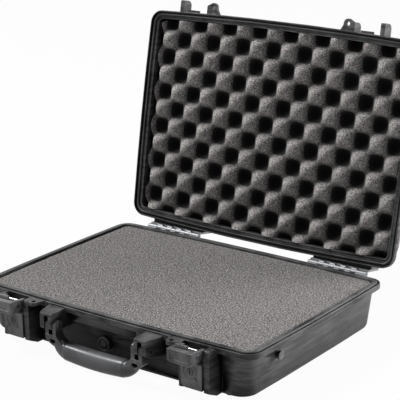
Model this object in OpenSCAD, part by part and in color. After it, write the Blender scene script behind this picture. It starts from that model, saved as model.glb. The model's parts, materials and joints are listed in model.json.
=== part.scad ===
// Attache-size hard case for a laptop: a drafted base and lid with bowed sides,
// a sealing ridge and ring, two lever latches with key locks, a drop handle in a
// front recess, metal rear hinges, a flat foam block and a convoluted lid foam.
// Origin: middle of the footprint, on the surface that the case stands on.
// X runs along the front, Y towards the hinges, Z up.

/* [Case] */
// Width over the rim flanges
case_w = 505; // [470:1:560]
// Depth over the rim flanges
case_d = 352; // [330:1:400]
// Height of the base from its underside to the rim plane
base_h = 71; // [68:1:90]
// Height of the lid from its lip to its top
lid_h = 48; // [44:1:70]
// How far the lid stands open
lid_open = 101.3; // [60:0.1:105]
// Bow of the long sides
bow_long = 5.6; // [2:0.1:9]
// Bow of the short sides
bow_short = 2.5; // [1:0.1:5]
// Corner radius at the rim
rim_r = 20.5; // [18:0.5:30]
// Wall thickness of the floor and the lid top
floor_t = 4; // [3:0.5:6]

/* [Rim] */
// Height of the rim flange
flange_h = 8.5; // [7:0.5:10]
// How far the flange stands out from the side walls
flange_side = 10.5; // [8:0.5:13]
// Outer inset of the sealing ridge
ridge_in = 4.4; // [3.8:0.1:5]
// Width of the sealing ridge
ridge_w = 7.2; // [6:0.1:8]
// Height of the sealing ridge
ridge_h = 1.6; // [1:0.1:3]
// Width of the groove outside the sealing ridge
groove_w = 2.8; // [2:0.1:3]
// Width of the lid's outer lip
lid_lip_w = 1.8; // [1.5:0.1:2.4]
// Gap between the closed rims
rim_gap = 0.3; // [0.2:0.05:0.6]
// Section diameter of the sealing ring
seal_d = 3.4; // [3:0.1:4]

/* [Foam] */
// Gap round the foam pieces
foam_gap = 0.4; // [0.3:0.1:1]
// Height of the foam pad under the block
pad_h = 10; // [6:1:20]
// Half the pitch of the lid foam's peaks
foam_pitch = 29.5; // [26:0.5:34]
// Height of the peaks over the valleys
foam_wave = 24; // [16:1:26]

/* [Front] */
// Distance of the front recess wall from the rim edge
recess_in = 16; // [14:0.5:18]
// Width between the corner blocks
recess_w = 397; // [390:1:410]
// Height of the apron over the handle pocket
apron_h = 20.5; // [14:0.5:26]
// Height of the bottom lip of the recess
lip_h = 5; // [4:0.5:8]
// Distance of each padlock bore from the middle
padlock_x = 126; // [124:0.5:129]
// Padlock bore diameter
padlock_d = 7; // [5:0.5:8]
// Reach of the padlock bores in front of the rim edge
padlock_out = 9; // [8:0.1:12]

/* [Latches] */
// Distance of each latch from the middle
latch_x = 162.8; // [160:0.5:164]
// Width of each latch lever
lever_w = 40; // [36:0.5:40]
// Reach of the lever from its rod
lever_reach = 30; // [26:0.5:32]
// Height of the lever's lip
lever_lip_h = 19; // [16:0.5:20]
// Diameter of the latch rod
rod_d = 5; // [4:0.5:6]
// Diameter of the key cylinder
key_d = 12; // [10:0.5:13]

/* [Handle] */
// Pitch between the two handle clevises
clevis_pitch = 171; // [166:1:176]
// Height of the handle pin over the underside of the base
pin_z = 50.3; // [48:0.5:54]
// Diameter of the handle pins
pin_d = 5; // [4:0.5:6]
// Drop from the pin to the middle of the grip
handle_drop = 36.5; // [34:0.5:37]
// Grip height
grip_h = 27; // [22:0.5:28]
// Grip thickness front to back
grip_t = 25; // [20:0.5:26]
// Thickness of the handle arms front to back
arm_t = 16; // [12:0.5:18]

/* [Hinges] */
// Length of each hinge
hinge_len = 104; // [90:1:116]
// Distance of each hinge's middle from the middle of the case
hinge_x = 158; // [150:1:166]
// Diameter of the hinge knuckles
knuckle_d = 7.6; // [7:0.1:9]
// Diameter of the hinge pins
hinge_pin_d = 3.2; // [2.5:0.1:4]

/* [Fits] */
// Radial running clearance of pins in their bores
fit = 0.08; // [0.05:0.01:0.1]
// Side clearance between moving pieces
side_gap = 0.4; // [0.3:0.05:0.8]

/* [Hidden] */
$fn = 48;
eps = 0.01;

foot_h = 2.5;
foot_d = 12;
rim_z = foot_h + base_h;
front_y = -case_d / 2;
back_y = case_d / 2;

// Insets of the walls from the rim edge: x for the sides, y for front and back
wall_top_in = [flange_side, 2.5];
wall_foot_in = [flange_side + 5.8, 9];
edge_r = 6;
wall_r = 22;
cavity_in = ridge_in + ridge_w + 0.8;
front_wall_t = 4.5;
cavity_front_in = recess_in + front_wall_t;
groove_h = 3;

// Point counts round the outline
corner_n = 6;
long_n = 8;
short_n = 4;

// Key colours
shell_c = [0.16, 0.165, 0.175];
black_c = [0.09, 0.09, 0.095];
foam_c = [0.36, 0.35, 0.34];
metal_c = [0.72, 0.73, 0.75];

// Outline of the case at a given inset, with its sides bowed outwards
function arc_pts(cx, cy, r, a0) =
    [for (i = [0 : corner_n]) [cx + r * cos(a0 + 90 * i / corner_n), cy + r * sin(a0 + 90 * i / corner_n)]];
function mid_pts(a, b, n) = [for (i = [1 : n - 1]) a + (b - a) * i / n];
function rect_ring(w, d, r) = let (x = w / 2 - r, y = d / 2 - r) concat(
    arc_pts(x, y, r, 0), mid_pts([x, d / 2], [-x, d / 2], long_n),
    arc_pts(-x, y, r, 90), mid_pts([-w / 2, y], [-w / 2, -y], short_n),
    arc_pts(-x, -y, r, 180), mid_pts([-x, -d / 2], [x, -d / 2], long_n),
    arc_pts(x, -y, r, 270), mid_pts([w / 2, -y], [w / 2, y], short_n));
function bow(p) = [p.x * (1 - bow_short / (case_w / 2) * pow(p.y / (case_d / 2), 2)),
    p.y * (1 - bow_long / (case_d / 2) * pow(p.x / (case_w / 2), 2))];
function ring(ix, iy, r) = [for (p = rect_ring(case_w - 2 * ix, case_d - 2 * iy, r)) bow(p)];
function rim_corner(in) = max(rim_r - in, 6);
function edge_y(x) = -case_d / 2 + bow_long * pow(x / (case_w / 2), 2);

// Solid through a stack of [x inset, y inset, z, corner radius, shift towards the back] rings
module loft(rings) {
    stack = [for (g = rings) for (p = ring(g[0], g[1], g[3])) [p.x, p.y + (len(g) > 4 ? g[4] : 0), g[2]]];
    n = len(ring(0, 0, rim_r));
    m = len(rings);
    sides = [for (i = [0 : m - 2]) for (j = [0 : n - 1])
        let (a = i * n + j, b = i * n + (j + 1) % n) each [[a, a + n, b + n], [a, b + n, b]]];
    polyhedron(stack, concat([[for (j = [0 : n - 1]) j]], sides, [[for (j = [n - 1 : -1 : 0]) (m - 1) * n + j]]));
}

// Outer rings of a tub of height h, from its underside to the edge of its rim
function tub_rings(h) = [
    [wall_foot_in.x + edge_r, wall_foot_in.y + edge_r, 0, wall_r],
    [wall_foot_in.x + edge_r * 0.3, wall_foot_in.y + edge_r * 0.3, edge_r * 0.3, wall_r],
    [wall_foot_in.x, wall_foot_in.y, edge_r, wall_r],
    [wall_top_in.x, wall_top_in.y, h - flange_h - 1, wall_r],
    [wall_top_in.x - 1, 1.2, h - flange_h, wall_r],
    [0.8, 0.8, h - flange_h, rim_corner(0.8)],
    [0, 0, h - flange_h + 0.8, rim_r],
    [0, 0, h - 0.8, rim_r],
    [0.8, 0.8, h, rim_corner(0.8)]];

// Cavity of the base: insets of its sides, front and back where its walls start and end
cav_z0 = floor_t + 4;
cav_z1 = base_h - flange_h + 1;
cav_low = [wall_foot_in.x + 5, cavity_front_in + 1.5, wall_foot_in.y + 5.5];
cav_high = [cavity_in + 1.5, cavity_front_in, cavity_in + 1.5];
cav_top = [cavity_in + 1, cavity_in, cavity_in];
function cavity(z) = cav_low + (cav_high - cav_low) * (z - cav_z0) / (cav_z1 - cav_z0);
function room(in, z, gap = 0) =
    [in[0] + gap, (in[1] + in[2]) / 2 + gap, z, rim_corner(cavity_in), (in[1] - in[2]) / 2];

// Rim of the base: a narrow groove, the raised ridge and the cavity inside it
function base_inner_rings() = let (h = base_h, r0 = ridge_in, r1 = ridge_in + ridge_w) [
    [r0 - groove_w, r0 - groove_w, h, rim_corner(r0 - groove_w)],
    [r0 - groove_w, r0 - groove_w, h - groove_h, rim_corner(r0 - groove_w)],
    [r0, r0, h - groove_h, rim_corner(r0)],
    [r0, r0, h + ridge_h - 0.7, rim_corner(r0)],
    [r0 + 0.7, r0 + 0.7, h + ridge_h, rim_corner(r0 + 0.7)],
    [r1 - 0.7, r1 - 0.7, h + ridge_h, rim_corner(r1 - 0.7)],
    [r1, r1, h + ridge_h - 0.7, rim_corner(r1)],
    [cavity_in, cavity_in, h - 2, rim_corner(cavity_in)],
    room(cav_top, cav_z1 + 2), room(cav_high, cav_z1), room(cav_low, cav_z0),
    room(cav_low, floor_t, 2.5)];

// Lip of the lid: outer lip, channel that takes the ridge and the sealing ring, then the cavity
seal_groove_h = ridge_h + rim_gap + seal_d + 0.1;
seal_in = ridge_in + 1.9;
groove_out = ridge_in + ridge_w + 0.6;
lid_cavity_in = [groove_out + 0.8, groove_out + 1.4];
lid_lean = [0.15, 0.03];
function lid_room(z, gap = 0) = let (in = lid_cavity_in + lid_lean * z)
    [in.x + gap, in.y + gap, lid_h - z, rim_corner(groove_out)];
function lid_inner_rings() = let (h = lid_h - rim_gap, g = lid_lip_w) [
    [g, g, h, rim_corner(g)],
    [g, g, h - seal_groove_h, rim_corner(g)],
    [groove_out, groove_out, h - seal_groove_h, rim_corner(groove_out)],
    [groove_out, groove_out, h - seal_groove_h + 0.6, rim_corner(groove_out)],
    lid_room(seal_groove_h), lid_room(lid_h - floor_t - 4),
    lid_room(lid_h - floor_t, 4)];

// Hinge axis, behind the rim and a little under its plane
hinge_y = back_y + 8.4;
hinge_z = rim_z - 2.8;
module open_lid() {
    translate([0, hinge_y, hinge_z]) rotate([-lid_open, 0, 0]) translate([0, -hinge_y, -hinge_z]) children();
}

// The same shape on both sides of the case
module both() {
    children();
    mirror([1, 0, 0]) children();
}
// The same latch piece in the left and the right bay
module bay(s) {
    translate([s * latch_x, 0, 0]) children();
}
// Box between two corners
module block(a, b) {
    translate(a) cube(b - a);
}
// Cylinder along X from x0 to x1
module rod_x(x0, x1, y, z, d) {
    translate([x0, y, z]) rotate([0, 90, 0]) cylinder(h = x1 - x0, d = d);
}
// Outline in Y and Z, drawn as [y, z], extruded along X
module slab_x(x0, x1) {
    translate([x0, 0, 0]) rotate([90, 0, 90]) linear_extrude(x1 - x0) children();
}
// Outline in X and Z, extruded along Y
module slab_y(y0, y1) {
    translate([0, y1, 0]) rotate([90, 0, 0]) linear_extrude(y1 - y0) children();
}

// Front hardware, placed from the rim edge at the front
rod_y = front_y - 10;
rod_z = rim_z - 5.6;
plate_y = front_y - 17;
pillar_y = front_y - 14;
recess_y = front_y + recess_in;
pin_y = front_y - 19.6;
clevis_y = front_y - 28.5;
handle_pin_z = foot_h + pin_z;
clevis_top = rim_z - 3;

// Edges of a latch bay along X, from the axis of its lock; the lever sits to the left of it
lever_mid = -0.8;
lever_x0 = lever_mid - lever_w / 2;
lever_x1 = lever_mid + lever_w / 2;
slim_pillar_w = 5;
pillar_w = 9;
slot_w = 6.6;
bay_left = lever_x0 - 1.6;
bay_right = lever_x1 + 1;
lid_ear_gap = 0.8;
lid_ear_w = 7.5;
lid_ear_out = 15.5;
web_t = 4.5;

// What stands in the recess, as [y, z]: it ends in the recess wall, higher up in the flange,
// and next to the groove of the rim in the flange's outer edge
flange_root = front_y + 8;
edge_root = 0.8;
module standing(x0, x1, top, front) {
    root = edge_y((x0 + x1) / 2) + edge_root;
    slab_x(x0, x1) polygon(concat([[root, top], [root, rim_z - groove_h - 1], [flange_root, rim_z - groove_h - 1],
        [flange_root, rim_z - flange_h + 0.5], [recess_y + 1, rim_z - flange_h + 0.5]], front));
}

// Pillar of a latch bay: rounded nose round the rod, foot on the recess lip
module pillar(x0, x1, shank_y, shank_z) {
    standing(x0, x1, rim_z - 0.5, [[recess_y + 1, foot_h + 1.5], [front_y + 3, foot_h + 1.5],
        [shank_y, shank_z], [shank_y, rod_z - 8], [pillar_y, rod_z - 5], [pillar_y, rod_z],
        [pillar_y + 0.5, rod_z + 2.4], [pillar_y + 1.9, rim_z - 1.4], [pillar_y + 4.4, rim_z - 0.5]]);
}

// Handle clevis: two prongs under a sloping roof, flared out towards the flange
prong_w = 6;
ear_w = 6;
ear_slot = ear_w + 2 * side_gap + 1.2;
clevis_in = clevis_pitch / 2 - prong_w - ear_slot / 2;
clevis_out = clevis_pitch / 2 + prong_w + ear_slot / 2;
clevis_flare = 8.5;
module clevis() {
    difference() {
        intersection() {
            standing(clevis_in, clevis_out + clevis_flare, clevis_top, [[recess_y + 1, foot_h + 39],
                [pin_y + 5, foot_h + 40], [clevis_y + 5, foot_h + 42], [clevis_y + 1, foot_h + 44.4],
                [clevis_y, foot_h + 47], [clevis_y, clevis_top - 4], [clevis_y + 1.2, clevis_top - 1.2],
                [clevis_y + 4, clevis_top]]);
            translate([0, 0, foot_h + 30]) linear_extrude(base_h) polygon([[clevis_in, recess_y + 2],
                [clevis_in, clevis_y - 1], [clevis_out + 1, clevis_y - 1],
                [clevis_out + clevis_flare, front_y - 2], [clevis_out + clevis_flare, recess_y + 2]]);
        }
        block([clevis_pitch / 2 - ear_slot / 2, clevis_y - 1, foot_h + 30],
            [clevis_pitch / 2 + ear_slot / 2, front_y - 5.5, clevis_top - 4]);
        rod_x(clevis_in - 1, clevis_out + clevis_flare + 1, pin_y, handle_pin_z, pin_d + 2 * fit);
    }
}

// Padlock flange with its bore: sloped towards the middle, straight towards the latch
flange_t = 5;
padlock_r = 7.6;
padlock_side = 12;
module padlock_plate(z0, z1) {
    nose = front_y - padlock_out;
    root = edge_y(padlock_x) + edge_root;
    difference() {
        union() {
            translate([padlock_x, nose, z0]) cylinder(h = z1 - z0, r = padlock_r);
            translate([0, 0, z0]) linear_extrude(z1 - z0) polygon([[padlock_x - padlock_side - 1, root],
                [padlock_x - padlock_r - 0.6, nose + 3.4], [padlock_x - padlock_r + 0.3, nose],
                [padlock_x - padlock_r + 2.4, nose - 5.6], [padlock_x + padlock_r - 2.4, nose - 5.6],
                [padlock_x + padlock_side - 1.5, nose - 3], [padlock_x + padlock_side, nose],
                [padlock_x + padlock_side, root]]);
        }
        translate([padlock_x, nose, z0 - 1]) cylinder(h = z1 - z0 + 2, d = padlock_d);
    }
}

// Seat of one hinge leaf on the rear wall
leaf_t = 3;
leaf_y = hinge_y - knuckle_d / 2 - 2;
leaf_h = 24;
seat_y = back_y - 13;
screw_pitch = 34;
screw_d = 3.6;
screw_l = 12;
screw_drop = 14;

// Pressure knob in the pocket, and the strap studs on the sides
knob_x = -9;
knob_z = foot_h + 27;
knob_d = 21;
knob_t = 6;
knob_boss = 2.5;
knob_seal_t = 1.2;
knob_stem_d = 8;
knob_stem_l = knob_boss + knob_seal_t + front_wall_t;
stud_y = front_y + 75;
stud_z = foot_h + 48.4;
stud_boss_d = 13;
stud_post_d = 5;
stud_post_l = 3;
// Half width of the side wall at the studs
stud_x = case_w / 2 - bow_short * pow(stud_y / (case_d / 2), 2) - wall_foot_in.x
    + (wall_foot_in.x - wall_top_in.x) * (stud_z - foot_h - edge_r) / (base_h - flange_h - 1 - edge_r);

// Foam: drop of the block under the rim plane, and one peak of the convoluted sheet
foam_drop = 1;
wave_x = 17.5;
wave_y = -70;
foam_corner = 2;

// Front details
apron_x = 66;
seam_x = 51;
foot_x = 148;
foot_in = 26;
rib_pitch = 74;
rib_w = 8;
rib_in = 60;
ear_h = 20;
catch_out = 1;

// Handle
ear_in = clevis_in - side_gap - ear_w;
ear_out = clevis_pitch / 2 + ear_w / 2;
ear_r = 7.5;
grip_x = 58;
grip_bow = 2;

// Latch pieces
lever_arm_t = 5;
lever_eye_r = 5.6;
lip_t = 9;
claw_pin_d = 3.2;
claw_w = 20;
claw_x0 = lever_x0 + lever_arm_t + side_gap;
claw_x1 = claw_x0 + claw_w;
claw_reach = 12.5;
spring_r = 3.2;
spring_wire = 1.2;
spring_x = claw_x1 + 1.2;
key_z = foot_h + 36.4;
key_l = 14;
housing_z0 = foot_h + 12;
housing_top = foot_h + 49;
housing_r = 8;

module base_shell() {
    recess_x = recess_w / 2;
    color(shell_c) difference() {
        union() {
            difference() {
                translate([0, 0, foot_h]) loft(concat(tub_rings(base_h), base_inner_rings()));
                block([-recess_x, front_y - 5, foot_h + lip_h], [-apron_x, recess_y, rim_z - flange_h]);
                block([clevis_in, front_y - 5, foot_h + lip_h], [recess_x, recess_y, rim_z - flange_h]);
                block([-apron_x - eps, front_y - 5, foot_h + lip_h], [clevis_in + eps, recess_y, rim_z - apron_h]);
                block([seam_x, front_y - 5, foot_h + lip_h], [seam_x + 3, front_y + 5, rim_z - flange_h]);
            }
            for (s = [-1, 1]) bay(s) {
                pillar(bay_left - slim_pillar_w, bay_left, front_y - 7, foot_h + lip_h + 0.5);
                pillar(bay_right, bay_right + pillar_w, pillar_y, foot_h + 9.5);
            }
            both() {
                clevis();
                padlock_plate(rim_z - flange_t, rim_z);
                for (x = [foot_x, foot_x + 50], y = [front_y + foot_in, back_y - foot_in])
                    translate([x, y, 0]) cylinder(h = foot_h + 1, d = foot_d);
                block([hinge_x - hinge_len / 2, seat_y, rim_z - flange_h - leaf_h],
                    [hinge_x + hinge_len / 2, leaf_y, rim_z - flange_h - 0.5]);
                translate([stud_x - 2.5, stud_y, stud_z]) rotate([0, 90, 0]) cylinder(h = 4, d = stud_boss_d);
            }
            for (i = [-1 : 1]) block([i * rib_pitch - rib_w / 2, front_y + rib_in, 0],
                [i * rib_pitch + rib_w / 2, back_y - rib_in, foot_h + 1]);
            translate([knob_x, recess_y + 1, knob_z]) rotate([90, 0, 0]) cylinder(h = 1 + knob_boss, d = knob_d + 4);
        }
        translate([knob_x, recess_y + front_wall_t + 1, knob_z]) rotate([90, 0, 0])
            cylinder(h = 20, d = knob_stem_d + 2 * fit);
        for (s = [-1, 1]) bay(s) rod_x(bay_left - slim_pillar_w - 2, bay_right + pillar_w + 2, rod_y, rod_z, rod_d + 2 * fit);
        both() {
            hinge_screw_places(rim_z - flange_h - screw_drop) cylinder(h = screw_l, d = screw_d);
            translate([stud_x - stud_post_l, stud_y, stud_z]) rotate([0, 90, 0])
                cylinder(h = 20, d = stud_post_d + 2 * fit);
        }
    }
}

// Axes of the screws of one hinge leaf, from the leaf into its seat
module hinge_screw_places(z) {
    for (i = [-1 : 1]) translate([hinge_x + i * screw_pitch, leaf_y + leaf_t, z]) rotate([90, 0, 0]) children();
}

module lid_shell() {
    color(shell_c) open_lid() difference() {
        union() {
            translate([0, 0, rim_z + lid_h]) mirror([0, 0, 1])
                loft(concat(tub_rings(lid_h - rim_gap), lid_inner_rings()));
            both() {
                padlock_plate(rim_z + rim_gap, rim_z + rim_gap + flange_t);
                ear_web(padlock_x + padlock_side - web_t, web_t, padlock_out + 3);
                block([hinge_x - hinge_len / 2, seat_y, rim_z + flange_h + 0.8],
                    [hinge_x + hinge_len / 2, leaf_y, rim_z + flange_h + leaf_h]);
            }
            for (s = [-1, 1]) bay(s) {
                ear_web(s > 0 ? lever_x1 + lid_ear_gap : lever_x0 - lid_ear_gap - lid_ear_w, lid_ear_w, lid_ear_out,
                    s * latch_x);
                block([claw_x0, front_y - catch_out, rim_z + rim_gap + 4],
                    [claw_x1 + 1, front_y + 4, rim_z + flange_h]);
            }
        }
        both() hinge_screw_places(rim_z + flange_h + screw_drop) cylinder(h = screw_l, d = screw_d);
    }
}

// Ear of the lid across its front edge, w wide; at is the place of its origin along the case
module ear_web(x, w, out, at = 0) {
    root = edge_y(x + at + w / 2) + edge_root;
    slab_x(x, x + w) polygon([[root, rim_z + rim_gap], [front_y - out + 2, rim_z + rim_gap],
        [front_y - out + 0.5, rim_z + rim_gap + 0.6], [front_y - out, rim_z + rim_gap + 2],
        [front_y - out, rim_z + ear_h - 8], [front_y - out + 1.2, rim_z + ear_h - 4],
        [front_y - out + 4, rim_z + ear_h - 1.2], [front_y - out + 7, rim_z + ear_h], [front_y + 9, rim_z + ear_h],
        [front_y + 9, rim_z + flange_h], [root, rim_z + flange_h]]);
}

// Closed tube of a small section that follows the outline at one inset
module lid_seal() {
    n = len(ring(0, 0, rim_r));
    k = 6;
    in = seal_in;
    z = rim_z + rim_gap + seal_groove_h - seal_d / 2 - 0.05;
    rows = [for (i = [0 : k - 1]) ring(in - seal_d / 2 * cos(360 * i / k), in - seal_d / 2 * cos(360 * i / k),
        rim_corner(in))];
    pts = [for (i = [0 : k - 1]) for (p = rows[i]) [p.x, p.y, z + seal_d / 2 * sin(360 * i / k)]];
    faces = [for (i = [0 : k - 1]) for (j = [0 : n - 1])
        let (a = i * n + j, b = i * n + (j + 1) % n, c = ((i + 1) % k) * n + (j + 1) % n, d = ((i + 1) % k) * n + j)
        each [[a, d, c], [a, c, b]]];
    color(black_c) open_lid() polyhedron(pts, faces);
}

module foam_block() {
    z0 = floor_t + pad_h + 2 * foam_gap;
    color(foam_c) translate([0, 0, foot_h]) loft([room(cavity(z0), z0, foam_gap),
        room(cav_high + [0, 0.4, 0], cav_z1, foam_gap),
        room(cav_top + [0.4, 0.4, 0.4], cav_z1 + 3, foam_gap),
        room(cav_top, base_h - foam_drop - 1, foam_gap), room(cav_top, base_h - foam_drop, foam_gap + 1)]);
}

module foam_pad() {
    z1 = floor_t + pad_h + foam_gap;
    color(foam_c * 0.8) translate([0, 0, foot_h]) loft([room(cav_low, floor_t + foam_gap, 2.5 + foam_gap),
        room(cav_low, cav_z0 + foam_gap, foam_gap), room(cavity(z1), z1, foam_gap)]);
}

// Convoluted sheet: peaks and valleys alternate on a square lattice, and its edges are cut square
wave_top = rim_z + 2.5;
wave_back = rim_z + lid_h - floor_t - foam_gap;
function lattice(half, start) = let (step = foam_pitch / 2, k0 = ceil((-half + 3 - start) / step),
    k1 = floor((half - 3 - start) / step)) concat([-half], [for (k = [k0 : k1]) start + k * step], [half]);
function wave(x, y) = wave_top + foam_wave / 2
    * (1 - cos(180 * (x - wave_x) / foam_pitch) * cos(180 * (y - wave_y) / foam_pitch));
module lid_foam() {
    // Half sizes of the sheet's face, and its point over a place on the face at a height, drawn in with the lid's walls
    half = [case_w, case_d] / 2 - lid_cavity_in - [foam_gap, foam_gap];
    xs = lattice(half.x, wave_x);
    ys = lattice(half.y, wave_y);
    nx = len(xs);
    ny = len(ys);
    r = rim_corner(groove_out) + foam_corner;
    function at(x, y, z) = let (in = lid_lean * (z - rim_z),
        d = [max(0, abs(x) - half.x + r), max(0, abs(y) - half.y + r)],
        cut = d * (1 - max(d) / max(norm(d), 0.001)),
        p = bow([x - sign(x) * (in.x * pow(x / half.x, 8) + cut.x),
            y - sign(y) * (in.y * pow(y / half.y, 8) + cut.y)])) [p.x, p.y, z];
    front = [for (y = ys) for (x = xs) at(x, y, wave(x, y))];
    edge = concat([for (i = [0 : nx - 2]) i], [for (j = [0 : ny - 2]) j * nx + nx - 1],
        [for (i = [nx - 1 : -1 : 1]) (ny - 1) * nx + i], [for (j = [ny - 1 : -1 : 1]) j * nx]);
    ne = len(edge);
    nf = len(front);
    rim = [for (e = edge) [xs[e % nx], ys[floor(e / nx)]]];
    mid = [for (p = rim) at(p.x, p.y, wave_back - 3.6)];
    back = [for (p = rim) let (q = at(p.x, p.y, wave_back)) [q.x * (1 - 4.4 / half.x), q.y * (1 - 4.4 / half.y), q.z]];
    faces = concat(
        [for (j = [0 : ny - 2]) for (i = [0 : nx - 2]) let (a = j * nx + i, b = a + 1, c = b + nx, d = a + nx)
            each wave(xs[i], ys[j]) + wave(xs[i + 1], ys[j + 1]) < wave(xs[i + 1], ys[j]) + wave(xs[i], ys[j + 1])
                ? [[a, b, c], [a, c, d]] : [[a, b, d], [b, c, d]]],
        [for (i = [0 : ne - 1]) let (k = (i + 1) % ne) each [[edge[i], nf + i, nf + k], [edge[i], nf + k, edge[k]],
            [nf + i, nf + ne + i, nf + ne + k], [nf + i, nf + ne + k, nf + k]]],
        [[for (i = [ne - 1 : -1 : 0]) nf + ne + i]]);
    color(foam_c) open_lid() polyhedron(concat(front, mid, back), faces);
}

// Handle frame: two ears a side on each pin, arms with open pockets and a core bar
arm_low = [[grip_x, -handle_drop + grip_h / 2 - 2], [ear_in - 4, -19], [ear_in, -14], [ear_out, -14],
    [ear_out, -22], [ear_out - 8, -33], [ear_out - 20, -handle_drop - grip_h / 2 + 4.5],
    [grip_x + 1, -handle_drop - grip_h / 2 + 0.6], [grip_x, -handle_drop - grip_h / 2 + 0.5]];
pocket = [[ear_out - 17, -20], [ear_out - 8, -20], [ear_out - 6.5, -24], [ear_out - 13, -33],
    [ear_out - 22, -40], [ear_out - 25, -37], [ear_out - 17, -29]];
module ear(x0, x1) {
    slab_x(x0, x1) difference() {
        union() {
            translate([pin_y, handle_pin_z]) circle(r = ear_r);
            translate([pin_y - ear_r, handle_pin_z - 18]) square([2 * ear_r, 18]);
        }
        translate([pin_y, handle_pin_z]) circle(d = pin_d + 2 * fit);
    }
}
module handle_frame() {
    color(black_c) difference() {
        union() {
            both() {
                ear(ear_in, ear_in + ear_w);
                ear(ear_out - ear_w, ear_out);
                translate([0, 0, handle_pin_z]) slab_y(pin_y - arm_t / 2, pin_y + arm_t / 2) polygon(arm_low);
            }
            core();
        }
        both() for (y = [pin_y - arm_t / 2 - 1, pin_y + 2])
            translate([0, 0, handle_pin_z]) slab_y(y, y + arm_t / 2 - 1) polygon(pocket);
    }
}
// Bar inside the grip that ties the two arms together
module core() {
    block([-grip_x - 3, pin_y - 4, handle_pin_z - handle_drop - 6],
        [grip_x + 3, pin_y + 4, handle_pin_z - handle_drop + 6]);
}
// Round grip, slightly bowed down and fullest in the middle
module handle_grip() {
    k = 20;
    m = 12;
    function sag(t) = grip_bow * (1 - t * t);
    function full(t) = 1 - 0.07 * t * t - 0.1 * pow(abs(t), 12);
    pts = [for (i = [0 : m]) for (j = [0 : k - 1]) let (t = 2 * i / m - 1, a = 360 * j / k)
        [t * (grip_x - 0.3), pin_y + grip_t / 2 * full(t) * cos(a),
            handle_pin_z - handle_drop + 1 - sag(t) + grip_h / 2 * full(t) * sin(a)]];
    faces = concat([[for (j = [k - 1 : -1 : 0]) j]],
        [for (i = [0 : m - 1]) for (j = [0 : k - 1]) let (a = i * k + j, b = i * k + (j + 1) % k)
            each [[a, b, b + k], [a, b + k, a + k]]],
        [[for (j = [0 : k - 1]) m * k + j]]);
    color(shell_c * 1.2) difference() {
        polyhedron(pts, faces);
        core();
    }
}
module handle_pin() {
    color(metal_c) rod_x(ear_in - 0.8, clevis_out + 2.6, pin_y, handle_pin_z, pin_d);
}

// Latch lever: a deep lip on two arms that turn on the rod, open on top and behind
lip_y = rod_y - lever_reach;
lip_z0 = rod_z + 8.6 - lever_lip_h;
lip_z1 = rod_z + 8.6;
claw_y = rod_y - lever_reach / 2;
claw_z = rod_z - 0.4;
module latch_lever(s) {
    color(black_c) bay(s) difference() {
        union() {
            for (x = [lever_x0, lever_x1 - lever_arm_t]) slab_x(x, x + lever_arm_t) {
                translate([rod_y, rod_z]) circle(r = lever_eye_r);
                polygon([[rod_y, rod_z + lever_eye_r], [lip_y + 8, lip_z1], [lip_y + 1, lip_z1],
                    [lip_y + 1, lip_z0 + 4], [lip_y + 4, lip_z0], [claw_y, lip_z0], [rod_y, rod_z - lever_eye_r]]);
            }
            slab_y(lip_y, lip_y + lip_t) {
                translate([lever_x0, lip_z0 + 6]) square([lever_w, lever_lip_h - 6]);
                translate([lever_x0 + 6, lip_z0]) square([lever_w - 12, 7]);
                for (x = [lever_x0 + 6, lever_x1 - 6]) translate([x, lip_z0 + 6]) circle(r = 6);
            }
            block([lever_x0 + 3, lip_y + 4, lip_z0], [lever_x1 - 3, claw_y + 3, lip_z0 + 2.6]);
        }
        block([lever_x0 + 5, lip_y - 1, lip_z0 + 5], [lever_x1 - 5, lip_y + 1, lip_z1 - 4]);
        rod_x(lever_x0 - 1, lever_x1 + 1, rod_y, rod_z, rod_d + 2 * fit);
        rod_x(lever_x0 - 1, lever_x1 + 1, claw_y, claw_z, claw_pin_d + 2 * fit);
    }
}
module latch_rod(s) {
    color(metal_c) bay(s) {
        rod_x(bay_left - slim_pillar_w - 0.6, bay_right + pillar_w + 0.8, rod_y, rod_z, rod_d);
        rod_x(bay_left + 0.3, lever_x0 - side_gap, rod_y, rod_z, rod_d + 3);
    }
}
// Claw: turns on its own pin between the arms and hooks over the catch of the lid
module latch_claw(s) {
    color(black_c) bay(s) difference() {
        union() {
            rod_x(claw_x0, claw_x1, claw_y, claw_z, 8.4);
            slab_x(claw_x0, claw_x1) polygon([[claw_y - 3.6, claw_z - 1], [claw_y - 3.6, rod_z + claw_reach - 1],
                [claw_y - 2.6, rod_z + claw_reach], [claw_y - 0.6, rod_z + claw_reach],
                [claw_y + 0.3, rod_z + 4.6], [claw_y + 3.6, rod_z + 3], [claw_y + 3.6, claw_z - 1]]);
        }
        rod_x(claw_x0 - 1, claw_x1 + 1, claw_y, claw_z, claw_pin_d + 2 * fit);
    }
}
module latch_claw_pin(s) {
    color(metal_c) bay(s) {
        rod_x(lever_x0 - 1, lever_x1 + 1, claw_y, claw_z, claw_pin_d);
        for (x = [lever_x0 - 1.2, lever_x1 + 0.1]) rod_x(x, x + 1.1, claw_y, claw_z, claw_pin_d + 2);
    }
}
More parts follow.
